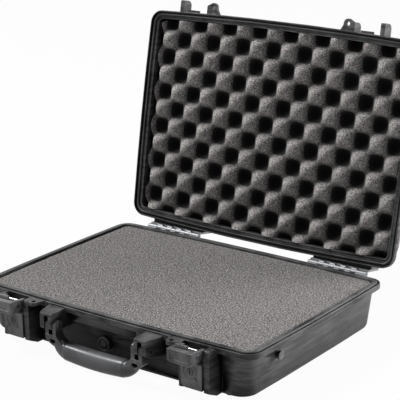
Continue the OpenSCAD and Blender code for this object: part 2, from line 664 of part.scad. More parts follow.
// Torsion spring: one wire, a coil round the claw pin and two straight legs
spring_turns = 4;
function spring_route() = let (r = spring_r, w = spring_wire, p = spring_wire + 0.6)
    concat([[spring_x, -lever_reach / 2 + lip_t + 1.2, -r], [spring_x, -4, -r]],
        [for (i = [0 : 8 * spring_turns]) let (a = 270 - 45 * i)
            [spring_x + p * i / 8, r * cos(a), r * sin(a)]],
        [[spring_x + p * spring_turns, 4, -r], [spring_x + p * spring_turns, 6, -r]]);
module latch_spring(s) {
    route = spring_route();
    n = len(route);
    k = 6;
    function dir(i) = let (d = route[min(i + 1, n - 1)] - route[max(i - 1, 0)]) d / norm(d);
    pts = [for (i = [0 : n - 1]) let (t = dir(i), u = cross(t, [1, 0, 0]) / norm(cross(t, [1, 0, 0])), v = cross(u, t))
        for (j = [0 : k - 1]) route[i] + spring_wire / 2 * (cos(360 * j / k) * u + sin(360 * j / k) * v)];
    faces = concat([[for (j = [0 : k - 1]) j]],
        [for (i = [0 : n - 2]) for (j = [0 : k - 1]) let (a = i * k + j, b = i * k + (j + 1) % k)
            each [[a, a + k, b + k], [a, b + k, b]]],
        [[for (j = [k - 1 : -1 : 0]) (n - 1) * k + j]]);
    color(metal_c) bay(s) translate([0, claw_y, claw_z]) polyhedron(pts, faces);
}

// Lock housing: a rounded block between the pillars with a ring round the key cylinder
module latch_lock_housing(s) {
    x0 = bay_left + slot_w;
    x1 = bay_right - 1;
    color(black_c) bay(s) difference() {
        slab_y(plate_y, recess_y) {
            translate([x0 + housing_r, housing_z0]) square([x1 - x0 - housing_r, housing_top - housing_z0]);
            translate([x0, housing_z0 + housing_r]) square([housing_r + 1, housing_top - housing_z0 - housing_r]);
            translate([x0 + housing_r, housing_z0 + housing_r]) circle(r = housing_r);
        }
        translate([0, 0, key_z]) {
            slab_y(plate_y - 1, plate_y + key_l + 1) circle(d = key_d + 2 * fit);
            slab_y(plate_y - 1, plate_y + 0.8) difference() {
                union() {
                    circle(r = key_d / 2 + 4.6);
                    rotate(-40) translate([0, -1.6]) square([key_d / 2 + 9, 3.2]);
                }
                circle(r = key_d / 2 + 3.6);
            }
        }
    }
}
module latch_key_cylinder(s) {
    color(metal_c * 0.6) bay(s) translate([0, 0, key_z]) difference() {
        union() {
            slab_y(plate_y, plate_y + key_l) circle(d = key_d);
            slab_y(plate_y - 0.8, plate_y) circle(d = key_d - 2);
        }
        block([-0.8, plate_y - 2, -3.4], [0.8, plate_y + 3, 3.4]);
    }
}

// Pressure release knob: a disc with a rim and a slotted hub, on a stem through the wall
module pressure_knob() {
    y = recess_y - knob_boss - knob_seal_t - 0.3;
    color(black_c) translate([knob_x, y, knob_z]) rotate([90, 0, 0]) difference() {
        union() {
            cylinder(h = knob_t, d = knob_d);
            translate([0, 0, knob_t - eps]) cylinder(h = 1, d = knob_d * 0.42);
            translate([0, 0, -knob_stem_l]) cylinder(h = knob_stem_l + 1, d = knob_stem_d);
        }
        translate([0, 0, knob_t - 1.2]) difference() {
            cylinder(h = 4, d = knob_d - 3);
            translate([0, 0, -1]) cylinder(h = 6, d = knob_d * 0.42);
        }
        translate([-knob_d * 0.16, -0.8, knob_t - 0.2]) cube([knob_d * 0.32, 1.6, 4]);
    }
}
module pressure_seal() {
    color(black_c * 0.8) translate([knob_x, recess_y - knob_boss, knob_z]) rotate([90, 0, 0]) difference() {
        cylinder(h = knob_seal_t, d = knob_d - 3);
        translate([0, 0, -1]) cylinder(h = knob_seal_t + 2, d = knob_stem_d + 1);
    }
}

// Hinge: nine knuckles, longer ones at the ends, alternately on the base leaf and the lid leaf
knuckle_end = 18;
knuckle_mid = (hinge_len - 2 * knuckle_end) / 7;
function knuckle_x0(i) = i == 0 ? 0 : knuckle_end + (i - 1) * knuckle_mid;
function knuckle_x1(i) = i == 8 ? hinge_len : knuckle_end + i * knuckle_mid;
module knuckles(first, up) {
    for (i = [first : 2 : 8]) {
        x0 = hinge_x - hinge_len / 2 + knuckle_x0(i) + (i == 0 ? 0 : side_gap / 2);
        x1 = hinge_x - hinge_len / 2 + knuckle_x1(i) - (i == 8 ? 0 : side_gap / 2);
        rod_x(x0, x1, hinge_y, hinge_z, knuckle_d);
        block([x0, leaf_y, hinge_z - (up ? 0 : 7)], [x1, hinge_y - (up ? 0.4 : 0.4), hinge_z + (up ? 7 : 0)]);
    }
}
module leaf_body(up) {
    z0 = up ? hinge_z + knuckle_d / 2 + 0.5 : rim_z - flange_h - leaf_h;
    z1 = up ? rim_z + flange_h + leaf_h : hinge_z - knuckle_d / 2 - 0.5;
    block([hinge_x - hinge_len / 2, leaf_y, z0], [hinge_x + hinge_len / 2, leaf_y + leaf_t, z1]);
}
module base_leaf() {
    difference() {
        union() {
            leaf_body(false);
            knuckles(0, false);
        }
        hinge_bore();
        hinge_screw_places(rim_z - flange_h - screw_drop) translate([0, 0, -1]) cylinder(h = screw_l, d = screw_d + 0.4);
    }
}
module lid_leaf() {
    open_lid() difference() {
        union() {
            leaf_body(true);
            knuckles(1, true);
        }
        hinge_bore();
        hinge_screw_places(rim_z + flange_h + screw_drop) translate([0, 0, -1]) cylinder(h = screw_l, d = screw_d + 0.4);
    }
}
module hinge_bore() {
    rod_x(hinge_x - hinge_len / 2 - 1, hinge_x + hinge_len / 2 + 1, hinge_y, hinge_z, hinge_pin_d + 2 * fit);
}
module hinge_pin() {
    rod_x(hinge_x - hinge_len / 2 - 0.6, hinge_x + hinge_len / 2 + 0.6, hinge_y, hinge_z, hinge_pin_d);
}
module hinge_screws(z) {
    both() hinge_screw_places(z) {
        translate([0, 0, -eps]) cylinder(h = screw_l - 0.4, d = screw_d - 2 * fit);
        translate([0, 0, -1.6]) cylinder(h = 1.6, d = screw_d + 3.4);
    }
}

// Stud for the shoulder strap: a waisted button on a post in the side wall
module strap_stud() {
    color(black_c) translate([stud_x, stud_y, stud_z]) rotate([0, 90, 0]) {
        translate([0, 0, 0.3 - stud_post_l]) cylinder(h = stud_post_l + 3, d = stud_post_d);
        translate([0, 0, 1.8]) cylinder(h = 3.4, d = 8);
        translate([0, 0, 5.2 - eps]) cylinder(h = 3, d = 12.5);
    }
}

base_shell();
lid_shell();
lid_seal();
foam_block();
foam_pad();
lid_foam();
handle_frame();
handle_grip();
mirror([1, 0, 0]) handle_pin();  // handle_pin_left
handle_pin();  // handle_pin_right
latch_lever(-1);  // latch_left_lever
latch_rod(-1);  // latch_left_rod
latch_claw(-1);  // latch_left_claw
latch_claw_pin(-1);  // latch_left_claw_pin
latch_spring(-1);  // latch_left_spring
latch_lock_housing(-1);  // latch_left_lock_housing
latch_key_cylinder(-1);  // latch_left_key_cylinder
latch_lever(1);  // latch_right_lever
latch_rod(1);  // latch_right_rod
latch_claw(1);  // latch_right_claw
latch_claw_pin(1);  // latch_right_claw_pin
latch_spring(1);  // latch_right_spring
latch_lock_housing(1);  // latch_right_lock_housing
latch_key_cylinder(1);  // latch_right_key_cylinder
pressure_knob();
pressure_seal();
color(metal_c) mirror([1, 0, 0]) base_leaf();  // hinge_left_base_leaf
color(metal_c) mirror([1, 0, 0]) lid_leaf();  // hinge_left_lid_leaf
color(metal_c) mirror([1, 0, 0]) hinge_pin();  // hinge_left_pin
color(metal_c) base_leaf();  // hinge_right_base_leaf
color(metal_c) lid_leaf();  // hinge_right_lid_leaf
color(metal_c) hinge_pin();  // hinge_right_pin
color(metal_c) hinge_screws(rim_z - flange_h - screw_drop);  // hinge_base_screws
color(metal_c) open_lid() hinge_screws(rim_z + flange_h + screw_drop);  // hinge_lid_screws
mirror([1, 0, 0]) strap_stud();  // strap_stud_left
strap_stud();  // strap_stud_right
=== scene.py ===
"""Looks of a laptop hard case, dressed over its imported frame."""

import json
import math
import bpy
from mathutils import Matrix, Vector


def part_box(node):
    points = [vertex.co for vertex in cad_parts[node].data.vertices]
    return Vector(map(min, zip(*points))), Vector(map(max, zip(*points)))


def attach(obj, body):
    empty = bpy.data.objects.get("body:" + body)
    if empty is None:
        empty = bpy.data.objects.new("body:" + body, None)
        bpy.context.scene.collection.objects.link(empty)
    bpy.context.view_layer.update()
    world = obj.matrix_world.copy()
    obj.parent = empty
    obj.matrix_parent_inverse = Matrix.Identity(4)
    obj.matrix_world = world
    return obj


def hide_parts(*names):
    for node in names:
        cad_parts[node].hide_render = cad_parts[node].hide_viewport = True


bl_info = {
    "name": "Laptop hard case",
    "version": (1, 0, 0),
    "blender": (4, 5, 0),
    "location": "3D View > Sidebar > Hard Case",
    "description": "Dresses the packed laptop hard case with its foam, plastics and metal",
    "category": "Object",
}

import bmesh
import bpy
from mathutils import Matrix, Vector, noise

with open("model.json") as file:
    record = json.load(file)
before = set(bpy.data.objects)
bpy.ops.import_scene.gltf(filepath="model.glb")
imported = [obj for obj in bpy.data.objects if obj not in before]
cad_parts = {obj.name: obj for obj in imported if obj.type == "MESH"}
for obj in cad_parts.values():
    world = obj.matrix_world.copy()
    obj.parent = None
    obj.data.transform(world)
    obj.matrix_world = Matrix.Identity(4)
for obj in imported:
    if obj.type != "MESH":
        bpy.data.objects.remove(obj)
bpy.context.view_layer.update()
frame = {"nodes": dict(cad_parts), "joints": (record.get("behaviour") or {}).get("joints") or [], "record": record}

MM = 0.001
NODES = frame["nodes"]
RECORD = frame["record"]
BODY_OF = {node: body for body, members in RECORD["behaviour"]["bodies"].items() for node in members}
SLOT_OF = {part["node"]: part["material_slot"] for part in RECORD["subparts"]}
JOINTS = {joint["name"]: joint for joint in frame["joints"]}
SIDES = ("left", "right")


# Settings


def length(name, default, description):
    """A length setting, given in metres."""
    return bpy.props.FloatProperty(name=name, description=description, default=default, unit="LENGTH",
                                   subtype="DISTANCE", precision=5)


def colour(name, default, description):
    """A colour setting."""
    return bpy.props.FloatVectorProperty(name=name, description=description, default=default,
                                         subtype="COLOR", size=3, min=0.0, max=1.0)


def power(name, default, description):
    """A lamp's power setting, in watts."""
    return bpy.props.FloatProperty(name=name, description=description, default=default, unit="POWER")


def angle(name, degrees, description):
    """An angle setting, given in degrees."""
    return bpy.props.FloatProperty(name=name, description=description, default=math.radians(degrees),
                                   subtype="ANGLE")


class HardCaseColours(bpy.types.PropertyGroup):
    """Colours of the case's materials."""

    shell: colour("Case", (0.068, 0.0685, 0.070), "Moulded base and lid")
    plastic: colour("Black plastic", (0.084, 0.0845, 0.087), "Levers, handle frame, lock housings and knob")
    grip: colour("Grip", (0.053, 0.054, 0.058), "Moulded handle grip")
    foam: colour("Foam", (0.165, 0.156, 0.153), "Cells of the foam")
    foam_dark: colour("Foam pores", (0.035, 0.033, 0.032), "Pores between the cells")
    foam_light: colour("Foam flecks", (0.46, 0.44, 0.43), "Lit walls of single cells")
    seal: colour("Seal", (0.05, 0.05, 0.052), "Rubber sealing ring")
    hinge: colour("Hinge metal", (0.24, 0.243, 0.25), "Hinge leaves, screws and knuckles")
    steel: colour("Steel", (0.30, 0.30, 0.31), "Rods, pins and springs")
    lock: colour("Lock", (0.07, 0.07, 0.073), "Key cylinders")


class HardCaseSizes(bpy.types.PropertyGroup):
    """Sizes that the dressing adds to the frame."""

    edge_round: length("Edge rounding", 0.4 * MM, "Width that the levers' edges are broken by")
    foam_pitch: length("Foam half pitch", 29.5 * MM, "From a peak of the lid foam to the next valley")
    foam_wave: length("Foam wave", 24 * MM, "Height of the peaks over the valleys")
    foam_rows: bpy.props.IntProperty(name="Foam rows", default=12, min=4, max=20,
                                     description="Rows of faces per half pitch of the lid foam")
    foam_cell: length("Foam cell", 1.1 * MM, "Size of one cell of the foam")
    block_step: length("Block grid", 6 * MM, "Spacing of the grid on top of the foam block")
    block_dip: length("Block unevenness", 0.5 * MM, "How far the top of the foam block dips")
    grip_height: length("Grip height", 27 * MM, "Height of the handle grip")
    grip_bow: length("Grip bow", 2 * MM, "How far the grip sags in its middle")


class HardCaseStage(bpy.types.PropertyGroup):
    """Floor, lamps and camera."""

    floor: colour("Floor", (0.62, 0.62, 0.62), "Plain pale floor")
    key: power("Key lamp", 80.0, "Power of the lamp low on the right, behind")
    top: power("Top lamp", 175.0, "Power of the lamp high on the left")
    fill: power("Fill lamp", 3.0, "Power of the lamp in front, on the left")
    sky: bpy.props.FloatProperty(name="Sky", description="Strength of the even light all round", default=0.12,
                                 min=0.0, max=2.0)
    azimuth: angle("Camera azimuth", 36.27, "Angle round the case from its front")
    elevation: angle("Camera elevation", 17.35, "Angle over the horizon")
    roll: angle("Camera roll", -0.78, "Turn about the view axis")
    place: bpy.props.FloatVectorProperty(name="Camera place", description="Where the camera stands", size=3,
                                         default=(1.2822, -1.6305, 0.8548), subtype="TRANSLATION",
                                         unit="LENGTH")
    lens: bpy.props.FloatProperty(name="Lens", description="Focal length in millimetres", default=133.59)
    shift: bpy.props.FloatVectorProperty(name="Shift", description="Shift of the frame", size=2,
                                         default=(-0.066575, -0.012975))


def sizes():
    """The case's size settings."""
    return bpy.context.scene.hard_case_sizes


def colours():
    """The case's colour settings."""
    return bpy.context.scene.hard_case_colours


# Node helpers


def new_group(name, inputs, outputs):
    """An empty shader node group with its sockets, and its input and output nodes."""
    group = bpy.data.node_groups.new(name, "ShaderNodeTree")
    for socket, default in inputs:
        made = group.interface.new_socket(socket, in_out="INPUT", socket_type="NodeSocketFloat")
        made.default_value = default
    for socket, kind in outputs:
        group.interface.new_socket(socket, in_out="OUTPUT", socket_type=kind)
    return group, group.nodes.new("NodeGroupInput"), group.nodes.new("NodeGroupOutput")


def add(tree, kind, settings=None, **inputs):
    """A node in the tree: settings by attribute, and inputs by name or as _0, _1, linked or set."""
    node = tree.nodes.new(kind)
    for key, value in (settings or {}).items():
        setattr(node, key, value)
    for key, value in inputs.items():
        socket = node.inputs[int(key[1:])] if key[0] == "_" else node.inputs[key.replace("_", " ")]
        if isinstance(value, bpy.types.NodeSocket):
            tree.links.new(value, socket)
        else:
            socket.default_value = value
    return node


def ramp(tree, value, *stops):
    """A colour ramp through (place, grey or colour) stops."""
    node = tree.nodes.new("ShaderNodeValToRGB")
    elements = node.color_ramp.elements
    while len(elements) < len(stops):
        elements.new(0.5)
    for element, (place, shade) in zip(elements, stops):
        element.position = place
        element.color = (*shade, 1) if hasattr(shade, "__len__") else (shade, shade, shade, 1)
    tree.links.new(value, node.inputs["Fac"])
    return node.outputs["Color"]


def math_node(tree, operation, a, b):
    """The result of a Math node on two sockets or numbers."""
    return add(tree, "ShaderNodeMath", {"operation": operation}, _0=a, _1=b).outputs[0]


def spread(tree, value, low, high, given=(0.0, 1.0)):
    """A value that runs from low to high as the given one runs over its own range."""
    return add(tree, "ShaderNodeMapRange", Value=value, From_Min=given[0], From_Max=given[1], To_Min=low,
               To_Max=high).outputs["Result"]


def mix_colour(tree, factor, a, b):
    """Colour a where the factor is 0, and b where it is 1."""
    node = add(tree, "ShaderNodeMix", {"data_type": "RGBA"})
    for name, value in (("Factor", factor), ("A", a), ("B", b)):
        if isinstance(value, bpy.types.NodeSocket):
            tree.links.new(value, node.inputs[name])
        else:
            node.inputs[name].default_value = (*value, 1)
    return node.outputs["Result"]


def bump(tree, strength, distance, height, normal=None):
    """The normal of a Bump node, over another normal where one is given."""
    under = {"Normal": normal} if normal else {}
    return add(tree, "ShaderNodeBump", Strength=strength, Distance=distance, Height=height,
               **under).outputs["Normal"]


def object_place(tree, scale=(1, 1, 1)):
    """Object coordinates, stretched by a scale."""
    where = tree.nodes.new("ShaderNodeTexCoord")
    return add(tree, "ShaderNodeMapping", Vector=where.outputs["Object"], Scale=scale).outputs["Vector"]


def noise_node(tree, place, scale, detail, rough=0.5):
    """The factor of a Noise texture."""
    return add(tree, "ShaderNodeTexNoise", Vector=place, Scale=scale, Detail=detail,
               Roughness=rough).outputs["Fac"]


def tinted(base, times, plus=0.0):
    """A colour made lighter or darker, up to white."""
    return [min(1.0, c * times + plus) for c in base]


# Shared node groups


def grain_group():
    """Moulded texture: fine grain, broad patches and streaks drawn along the walls."""
    group, given, out = new_group("Moulded grain", [("Grain size", 900.0)],
                                  [("Height", "NodeSocketFloat"), ("Patches", "NodeSocketFloat"),
                                   ("Streaks", "NodeSocketFloat")])
    place = object_place(group)
    drawn = object_place(group, (45, 14, 190))
    for name, at, scale, detail, rough in (
        ("Height", place, given.outputs["Grain size"], 2.0, 0.6),
        ("Patches", place, 16.0, 4.0, 0.65),
        ("Streaks", drawn, 1.0, 4.0, 0.6),
    ):
        group.links.new(noise_node(group, at, scale, detail, rough), out.inputs[name])
    return group


def wear_and_highlight_group():
    """Rounded edges: the softened normal, and a patchy mask where the surface turns sharply, which lightens edges
    as wear and as a painted highlight.
    """
    group, given, out = new_group("Edge wear and highlight", [("Radius", 0.6 * MM)],
                                  [("Normal", "NodeSocketVector"), ("Wear and highlight", "NodeSocketFloat")])
    soft = add(group, "ShaderNodeBevel", {"samples": 6}, Radius=given.outputs["Radius"])
    flat = group.nodes.new("ShaderNodeNewGeometry")
    same = add(group, "ShaderNodeVectorMath", {"operation": "DOT_PRODUCT"}, _0=soft.outputs["Normal"],
               _1=flat.outputs["Normal"])
    turned = math_node(group, "SUBTRACT", 1.0, same.outputs["Value"])
    patchy = ramp(group, noise_node(group, object_place(group), 90.0, 3.0), (0.38, 0.25), (0.60, 1.0))
    mask = math_node(group, "MULTIPLY", math_node(group, "MULTIPLY", turned, 6.0), patchy)
    group.links.new(soft.outputs["Normal"], out.inputs["Normal"])
    group.links.new(add(group, "ShaderNodeClamp", Value=mask).outputs[0], out.inputs["Wear and highlight"])
    return group


def painted_recess_shade_group():
    """Open places are 1 and recesses fall to 0, where the plastic gets painted shade."""
    group, given, out = new_group("Painted recess shade", [("Reach", 20 * MM)], [("Open", "NodeSocketFloat")])
    shade = add(group, "ShaderNodeAmbientOcclusion", {"samples": 8}, Distance=given.outputs["Reach"])
    group.links.new(spread(group, shade.outputs["AO"], 0.0, 1.0, (0.25, 0.85)), out.inputs["Open"])
    return group


def foam_group():
    """Open cells: their shade from 0 to 1, and their height."""
    group, given, out = new_group("Foam cells", [("Cells per metre", 900.0)],
                                  [("Shade", "NodeSocketFloat"), ("Height", "NodeSocketFloat")])
    place = object_place(group)
    often = given.outputs["Cells per metre"]
    cells = add(group, "ShaderNodeTexVoronoi", Vector=place, Scale=often)
    specks = noise_node(group, place, often, 3.0, 0.75)
    tufts = noise_node(group, place, 430.0, 3.0, 0.8)
    shade = math_node(group, "ADD", math_node(group, "MULTIPLY", specks, 0.4),
                      math_node(group, "MULTIPLY", tufts, 0.6))
    group.links.new(shade, out.inputs["Shade"])
    group.links.new(cells.outputs["Distance"], out.inputs["Height"])
    return group


def group_node(tree, name, maker, **values):
    """The named group, made once, placed in a material's tree."""
    node = tree.nodes.new("ShaderNodeGroup")
    node.node_tree = bpy.data.node_groups.get(name) or maker()
    for key, value in values.items():
        node.inputs[key.replace("_", " ")].default_value = value
    return node


# Materials


def new_material(name):
    """A material with only a Principled shader, its tree and that shader's inputs."""
    made = bpy.data.materials.new(name)
    made.use_nodes = True
    tree = made.node_tree
    tree.nodes.clear()
    shader = tree.nodes.new("ShaderNodeBsdfPrincipled")
    out = tree.nodes.new("ShaderNodeOutputMaterial")
    tree.links.new(shader.outputs["BSDF"], out.inputs["Surface"])
    return made, tree, shader.inputs


def plastic(name, base, rough, grain, relief, streaks=0.0, wear=0.5, radius=0.6 * MM, specular=0.5):
    """Moulded plastic: grain, patchy gloss, painted shade in recesses, and edges lighter from wear and from a
    painted highlight.
    """
    made, tree, surface = new_material(name)
    texture = group_node(tree, "Moulded grain", grain_group, Grain_size=grain).outputs
    edges = group_node(tree, "Edge wear and highlight", wear_and_highlight_group, Radius=radius).outputs
    recess_shade = group_node(tree, "Painted recess shade", painted_recess_shade_group, Reach=45 * MM).outputs
    tone = math_node(tree, "ADD", math_node(tree, "MULTIPLY", texture["Patches"], 1.0 - streaks),
                     math_node(tree, "MULTIPLY", texture["Streaks"], streaks))
    body = ramp(tree, tone, (0.41, tinted(base, 0.55)), (0.60, tinted(base, 1.9, 0.004)))
    # Painted shade: the colour falls to 3% of the base in recesses, where shade falls.
    body = mix_colour(tree, recess_shade["Open"], tinted(base, 0.03), body)
    # Edges lightened partly as wear and partly as a painted highlight along the rims.
    worn_and_highlit = math_node(tree, "MULTIPLY", edges["Wear and highlight"], wear)
    tree.links.new(mix_colour(tree, worn_and_highlit, body, tinted(base, 2.4, 0.07)), surface["Base Color"])
    tree.links.new(spread(tree, tone, rough - 0.10, rough + 0.14, (0.36, 0.64)), surface["Roughness"])
    lift = bump(tree, relief, 0.3 * MM, texture["Height"], edges["Normal"])
    if streaks:
        lift = bump(tree, relief * streaks, 0.8 * MM, texture["Streaks"], lift)
    tree.links.new(lift, surface["Normal"])
    surface["Specular IOR Level"].default_value = specular
    return made


def metal(name, base, rough, relief):
    """Metal with fine tumbling marks and dulled patches."""
    made, tree, surface = new_material(name)
    texture = group_node(tree, "Moulded grain", grain_group, Grain_size=1400.0).outputs
    edges = group_node(tree, "Edge wear and highlight", wear_and_highlight_group, Radius=0.4 * MM).outputs
    body = ramp(tree, texture["Patches"], (0.30, tinted(base, 0.82)), (0.70, base))
    tree.links.new(body, surface["Base Color"])
    tree.links.new(spread(tree, texture["Height"], rough - 0.05, rough + 0.1), surface["Roughness"])
    tree.links.new(bump(tree, relief, 0.2 * MM, texture["Height"], edges["Normal"]), surface["Normal"])
    surface["Metallic"].default_value = 1.0
    return made


def foam(name, lift, contrast, deep=False):
    """Open cell foam: dark pores, lit flecks, and for the lid sheet a painted shade that deepens into its valleys.
    """
    made, tree, surface = new_material(name)
    cells = group_node(tree, "Foam cells", foam_group, Cells_per_metre=1.0 / sizes().foam_cell).outputs
    tint = colours()
    body = ramp(tree, cells["Shade"], (0.5 - contrast, tinted(tint.foam_dark, lift)),
                (0.5, tinted(tint.foam, lift)), (0.5 + contrast, tinted(tint.foam_light, lift)))
    if deep:
        # Painted shade: the lid sheet's colour falls to near black towards its valleys, where shade falls.
        depth = add(tree, "ShaderNodeAttribute", {"attribute_name": "depth"})
        shadow = ramp(tree, depth.outputs["Fac"], (0.23, 0.0), (0.43, 0.42), (0.57, 0.965), (0.8, 0.9995))
        body = mix_colour(tree, shadow, body, (0.002, 0.002, 0.002))
    tree.links.new(body, surface["Base Color"])
    tree.links.new(bump(tree, 0.55, 0.6 * MM, cells["Height"]), surface["Normal"])
    surface["Roughness"].default_value = 0.95
    surface["Specular IOR Level"].default_value = 0.15
    return made


def material_for(node):
    """The material of a node of the frame, by its slot in the record, made once."""
    tint = colours()
    name, maker, settings = {
        "shell": ("Moulded plastic", plastic, dict(base=tint.shell, rough=0.36, grain=1500.0, relief=0.35,
                                                   streaks=0.6, radius=1.4 * MM, specular=0.12)),
        "black_plastic": ("Satin black plastic", plastic, dict(base=tint.plastic, rough=0.28, grain=1900.0,
                                                               relief=0.22, wear=0.8, radius=0.9 * MM,
                                                               specular=0.3)),
        "grip": ("Grip plastic", plastic, dict(base=tint.grip, rough=0.33, grain=1300.0, relief=0.25,
                                               streaks=0.2, wear=0.3, specular=0.4)),
        "seal": ("Seal rubber", plastic, dict(base=tint.seal, rough=0.62, grain=1200.0, relief=0.15,
                                              wear=0.1)),
        "hinge_metal": ("Hinge alloy", metal, dict(base=tint.hinge, rough=0.50, relief=0.35)),
        "steel": ("Bright steel", metal, dict(base=tint.steel, rough=0.24, relief=0.12)),
        "lock_metal": ("Dark lock metal", metal, dict(base=tint.lock, rough=0.34, relief=0.2)),
        "foam": ("Base foam", foam, dict(lift=1.0, contrast=0.07)),
        "foam_pad": ("Base foam", foam, dict(lift=1.0, contrast=0.07)),
    }[SLOT_OF[node]]
    return bpy.data.materials.get(name) or maker(name, **settings)


# Mesh helpers


def merged_copy(node):
    """A bmesh copy of a node of the frame, with its loose triangles merged into faces."""
    bm = bmesh.new()
    bm.from_mesh(NODES[node].data)
    bmesh.ops.remove_doubles(bm, verts=bm.verts, dist=0.002 * MM)
    bmesh.ops.dissolve_limit(bm, angle_limit=math.radians(0.6), verts=bm.verts, edges=bm.edges)
    return bm


def finish_piece(bm, name, node, material=None, smooth=32.0, bevel=0.0, recalculate=False):
    """Make a piece of a bmesh in the frame's own place, that rides with its node's body and stands for it."""
    if recalculate:
        bmesh.ops.recalc_face_normals(bm, faces=bm.faces)
    mesh = bpy.data.meshes.new(name)
    bm.to_mesh(mesh)
    bm.free()
    mesh.materials.append(material or material_for(node))
    mesh.shade_smooth()
    mesh.set_sharp_from_angle(angle=math.radians(smooth))
    piece = bpy.data.objects.new(name, mesh)
    bpy.context.scene.collection.objects.link(piece)
    if bevel:
        rounding = piece.modifiers.new("Broken edges", "BEVEL")
        rounding.width = bevel
        rounding.segments = 2
        rounding.limit_method = "ANGLE"
        rounding.angle_limit = math.radians(38)
        rounding.use_clamp_overlap = False
        rounding.harden_normals = True
    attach(piece, BODY_OF[node])
    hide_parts(node)
    return piece


def dress(node, smooth=32.0, bevel=0.0):
    """A smooth-shaded copy of a node, with its material."""
    return finish_piece(merged_copy(node), node + "_skin", node, smooth=smooth, bevel=bevel)


def whole(bm):
    """Every vertex, edge and face of a bmesh, as the cutting operators take them."""
    return bm.verts[:] + bm.edges[:] + bm.faces[:]


def lid_turn():
    """The turn that takes the closed lid to where it stands open."""
    joint = JOINTS["lid_hinge"]
    hinge = Vector(joint["pos_m"])
    turn = Matrix.Rotation(-math.radians(joint["range_deg"][1]), 4, "X")
    return Matrix.Translation(hinge) @ turn @ Matrix.Translation(-hinge)


# Stage and pieces


class HARDCASE_OT_stage(bpy.types.Operator):
    """Floor, lamps, sky and the camera at the photograph's angle"""

    bl_idname = "hardcase.stage"
    bl_label = "Stage"

    # Half the floor's side, and the share of plain white that the camera sees of it
    floor_reach = 14.0
    floor_white = 0.96

    def execute(self, context):
        stage = context.scene.hard_case_stage
        self.floor(stage)
        self.lamps(stage)
        self.sky(context, stage)
        self.camera(context, stage)
        context.scene.view_settings.view_transform = "Standard"
        return {"FINISHED"}

    def floor(self, stage):
        """A plain floor that shows white and keeps the case's shadow."""
        bm = bmesh.new()
        bmesh.ops.create_grid(bm, x_segments=1, y_segments=1, size=self.floor_reach)
        mesh = bpy.data.meshes.new("floor")
        bm.to_mesh(mesh)
        bm.free()
        made = bpy.data.materials.new("Pale floor")
        made.use_nodes = True
        tree = made.node_tree
        tree.nodes.clear()
        pale = add(tree, "ShaderNodeBsdfDiffuse", Color=(*stage.floor, 1))
        bright = add(tree, "ShaderNodeEmission", Color=(1, 1, 1, 1), Strength=1.0)
        share = math_node(tree, "MULTIPLY", self.seen(tree), self.floor_white)
        both = add(tree, "ShaderNodeMixShader", _0=share, _1=pale.outputs[0], _2=bright.outputs[0])
        out = tree.nodes.new("ShaderNodeOutputMaterial")
        tree.links.new(both.outputs[0], out.inputs["Surface"])
        mesh.materials.append(made)
        floor = bpy.data.objects.new("floor", mesh)
        bpy.context.scene.collection.objects.link(floor)

    def seen(self, tree):
        """1 for rays from the camera and for mirrored and transmitted ones."""
        path = tree.nodes.new("ShaderNodeLightPath").outputs
        mirrored = math_node(tree, "MAXIMUM", path["Is Glossy Ray"], path["Is Transmission Ray"])
        return math_node(tree, "MAXIMUM", path["Is Camera Ray"], mirrored)

    def lamps(self, stage):
        """Square lamps, each with its power, its side, where it stands and where it points."""
        for name, watts, side, place, aim in (
            ("key", stage.key, 1.3, (1.7, 1.7, 0.75), (0.2, 0.0, 0.05)),
            ("top", stage.top, 1.0, (-2.7, -0.55, 3.2), (0.0, 0.1, 0.1)),
            ("fill", stage.fill, 1.6, (-1.0, -2.0, 0.9), (0.0, 0.0, 0.1)),
        ):
            lamp = bpy.data.lights.new(name, "AREA")
            lamp.energy = watts
            lamp.size = side
            shown = bpy.data.objects.new(name, lamp)
            shown.location = place
            shown.rotation_euler = (Vector(place) - Vector(aim)).to_track_quat("Z", "Y").to_euler()
            bpy.context.scene.collection.objects.link(shown)

    def sky(self, context, stage):
        """Even light all round, that shows white."""
        world = bpy.data.worlds.new("Studio")
        world.use_nodes = True
        tree = world.node_tree
        tree.nodes.clear()
        strength = spread(tree, self.seen(tree), stage.sky, 1.0)
        sky = add(tree, "ShaderNodeBackground", Color=(1, 1, 1, 1), Strength=strength)
        out = tree.nodes.new("ShaderNodeOutputWorld")
        tree.links.new(sky.outputs[0], out.inputs["Surface"])
        context.scene.world = world

    def camera(self, context, stage):
        """The photograph's camera."""
        camera = bpy.data.cameras.new("camera")
        camera.sensor_width = 36.0
        camera.lens = stage.lens
        camera.shift_x, camera.shift_y = stage.shift
        camera.clip_end = 100.0
        shown = bpy.data.objects.new("camera", camera)
        context.scene.collection.objects.link(shown)
        around, over = stage.azimuth, stage.elevation
        level = math.cos(over)
        forward = -Vector((math.sin(around) * level, -math.cos(around) * level, math.sin(over)))
        right = forward.cross(Vector((0, 0, 1))).normalized()
        up = right.cross(forward)
        turn = Matrix((right, up, -forward)).transposed() @ Matrix.Rotation(stage.roll, 3, "Z")
        shown.matrix_world = Matrix.Translation(Vector(stage.place)) @ turn.to_4x4()
        context.scene.camera = shown


class HARDCASE_OT_shells(bpy.types.Operator):
    """Moulded base and lid with their grained surface"""

    bl_idname = "hardcase.shells"
    bl_label = "Base and lid"

    def execute(self, context):
        dress("base_shell", smooth=30)
        dress("lid_shell", smooth=30)
        return {"FINISHED"}


